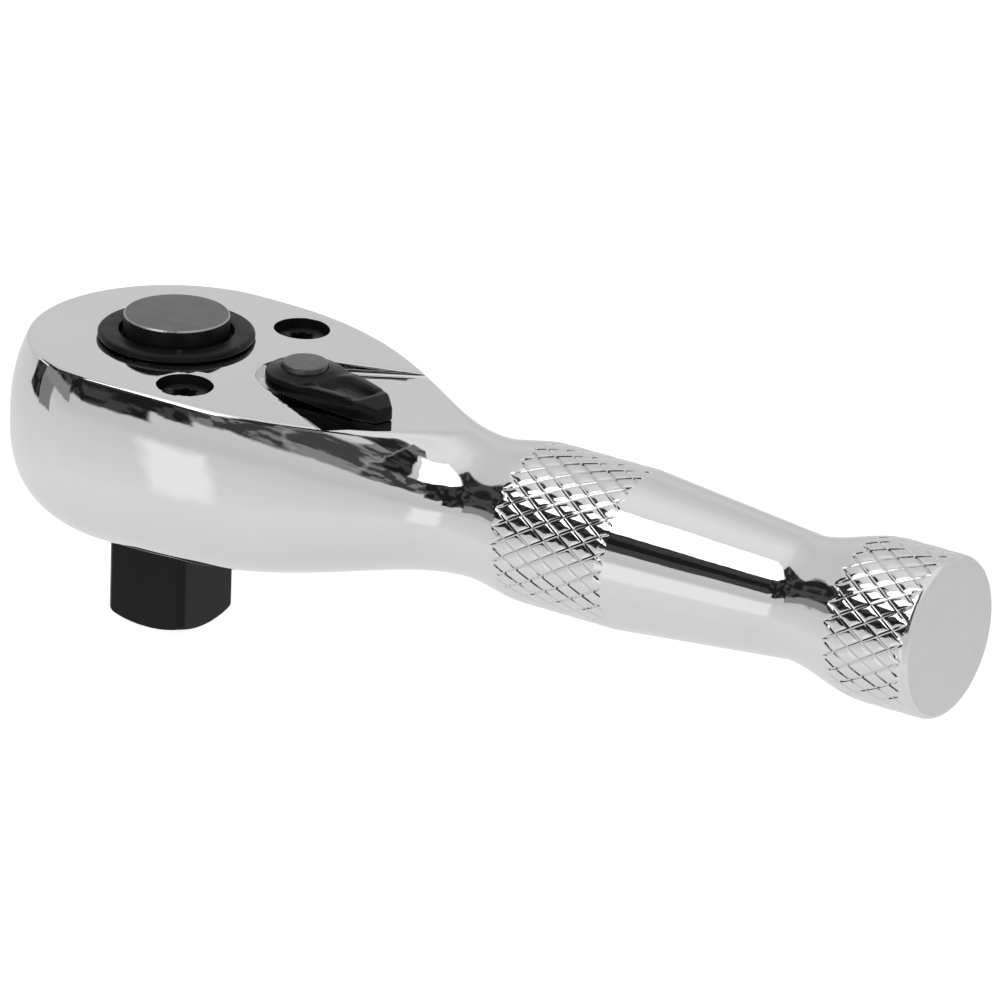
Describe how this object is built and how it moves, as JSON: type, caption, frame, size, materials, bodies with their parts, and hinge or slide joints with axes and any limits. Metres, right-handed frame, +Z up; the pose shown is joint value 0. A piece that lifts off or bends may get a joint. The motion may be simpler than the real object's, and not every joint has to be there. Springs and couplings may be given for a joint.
{
  "type": "ratchet wrench",
  "caption": "Stubby pear-head ratchet wrench with square drive, quick-release button, reversing thumb lever and knurled round handle.",
  "frame": {"origin": "centre of the square drive's end face", "axes": "+X along the handle from the drive axis, +Z up the drive axis through the head to the release button, +Y completes the right-handed set"},
  "size_m": [0.1101, 0.0338, 0.0335],
  "materials": {
    "chrome": "mirror polished chrome plate",
    "black_oxide": "satin black oxide",
    "gloss_black": "gloss black plated steel",
    "blackened_cap": "fine-turned blackened steel",
    "bare_steel": "ground, lightly oiled",
    "seal_rubber": "matte"
  },
  "bodies": {
    "housing": {"body": "chrome", "cover_plate": "chrome", "cover_screw_left": "black_oxide", "cover_screw_right": "black_oxide", "spindle_seal": "seal_rubber", "hub_seal": "seal_rubber", "lever_seal": "seal_rubber", "pawl_washer": "bare_steel"},
    "drive": {"drive_gear": "black_oxide", "spindle_collar": "black_oxide", "thrust_washer": "bare_steel", "release_spring": "bare_steel"},
    "release": {"release_button": "blackened_cap", "release_pin": "bare_steel"},
    "ball": {"detent_ball": "bare_steel"},
    "pawl": {"pawl": "bare_steel"},
    "lever": {"reverse_lever": "gloss_black", "lever_shaft": "blackened_cap", "lever_spring": "bare_steel"},
    "plunger": {"lever_plunger": "bare_steel"}
  },
  "joints": [
    {"name": "drive_spin", "type": "hinge", "parent": "housing", "child": "drive", "pos_m": [0, 0, 0.0211], "axis": [0, 0, 1], "continuous": true},
    {"name": "button_press", "type": "slide", "parent": "drive", "child": "release", "axis": [0, 0, -1], "range_m": [0, 0.0021], "stiffness_N_per_m": 800, "springref_m": -0.003, "deforming": ["release_spring"]},
    {"name": "ball_retract", "type": "slide", "parent": "drive", "child": "ball", "axis": [1, 0, 0], "range_m": [0, 0.00081]},
    {"name": "lever_flip", "type": "hinge", "parent": "housing", "child": "lever", "pos_m": [0.0161, 0, 0.0211], "axis": [0, 0, 1], "range_deg": [0, 34]},
    {"name": "pawl_rock", "type": "hinge", "parent": "housing", "child": "pawl", "pos_m": [0.0161, 0, 0.0211], "axis": [0, 0, 1], "range_deg": [0, 5]},
    {"name": "plunger_slide", "type": "slide", "parent": "lever", "child": "plunger", "axis": [0.9563, -0.2924, 0], "range_m": [0, 0.0005], "stiffness_N_per_m": 300, "springref_m": -0.002}
  ],
  "couplings": [
    {"joint": "ball_retract", "follows": "button_press", "ratio": 0.381},
    {"joint": "pawl_rock", "follows": "lever_flip", "ratio": 0.147}
  ]
}
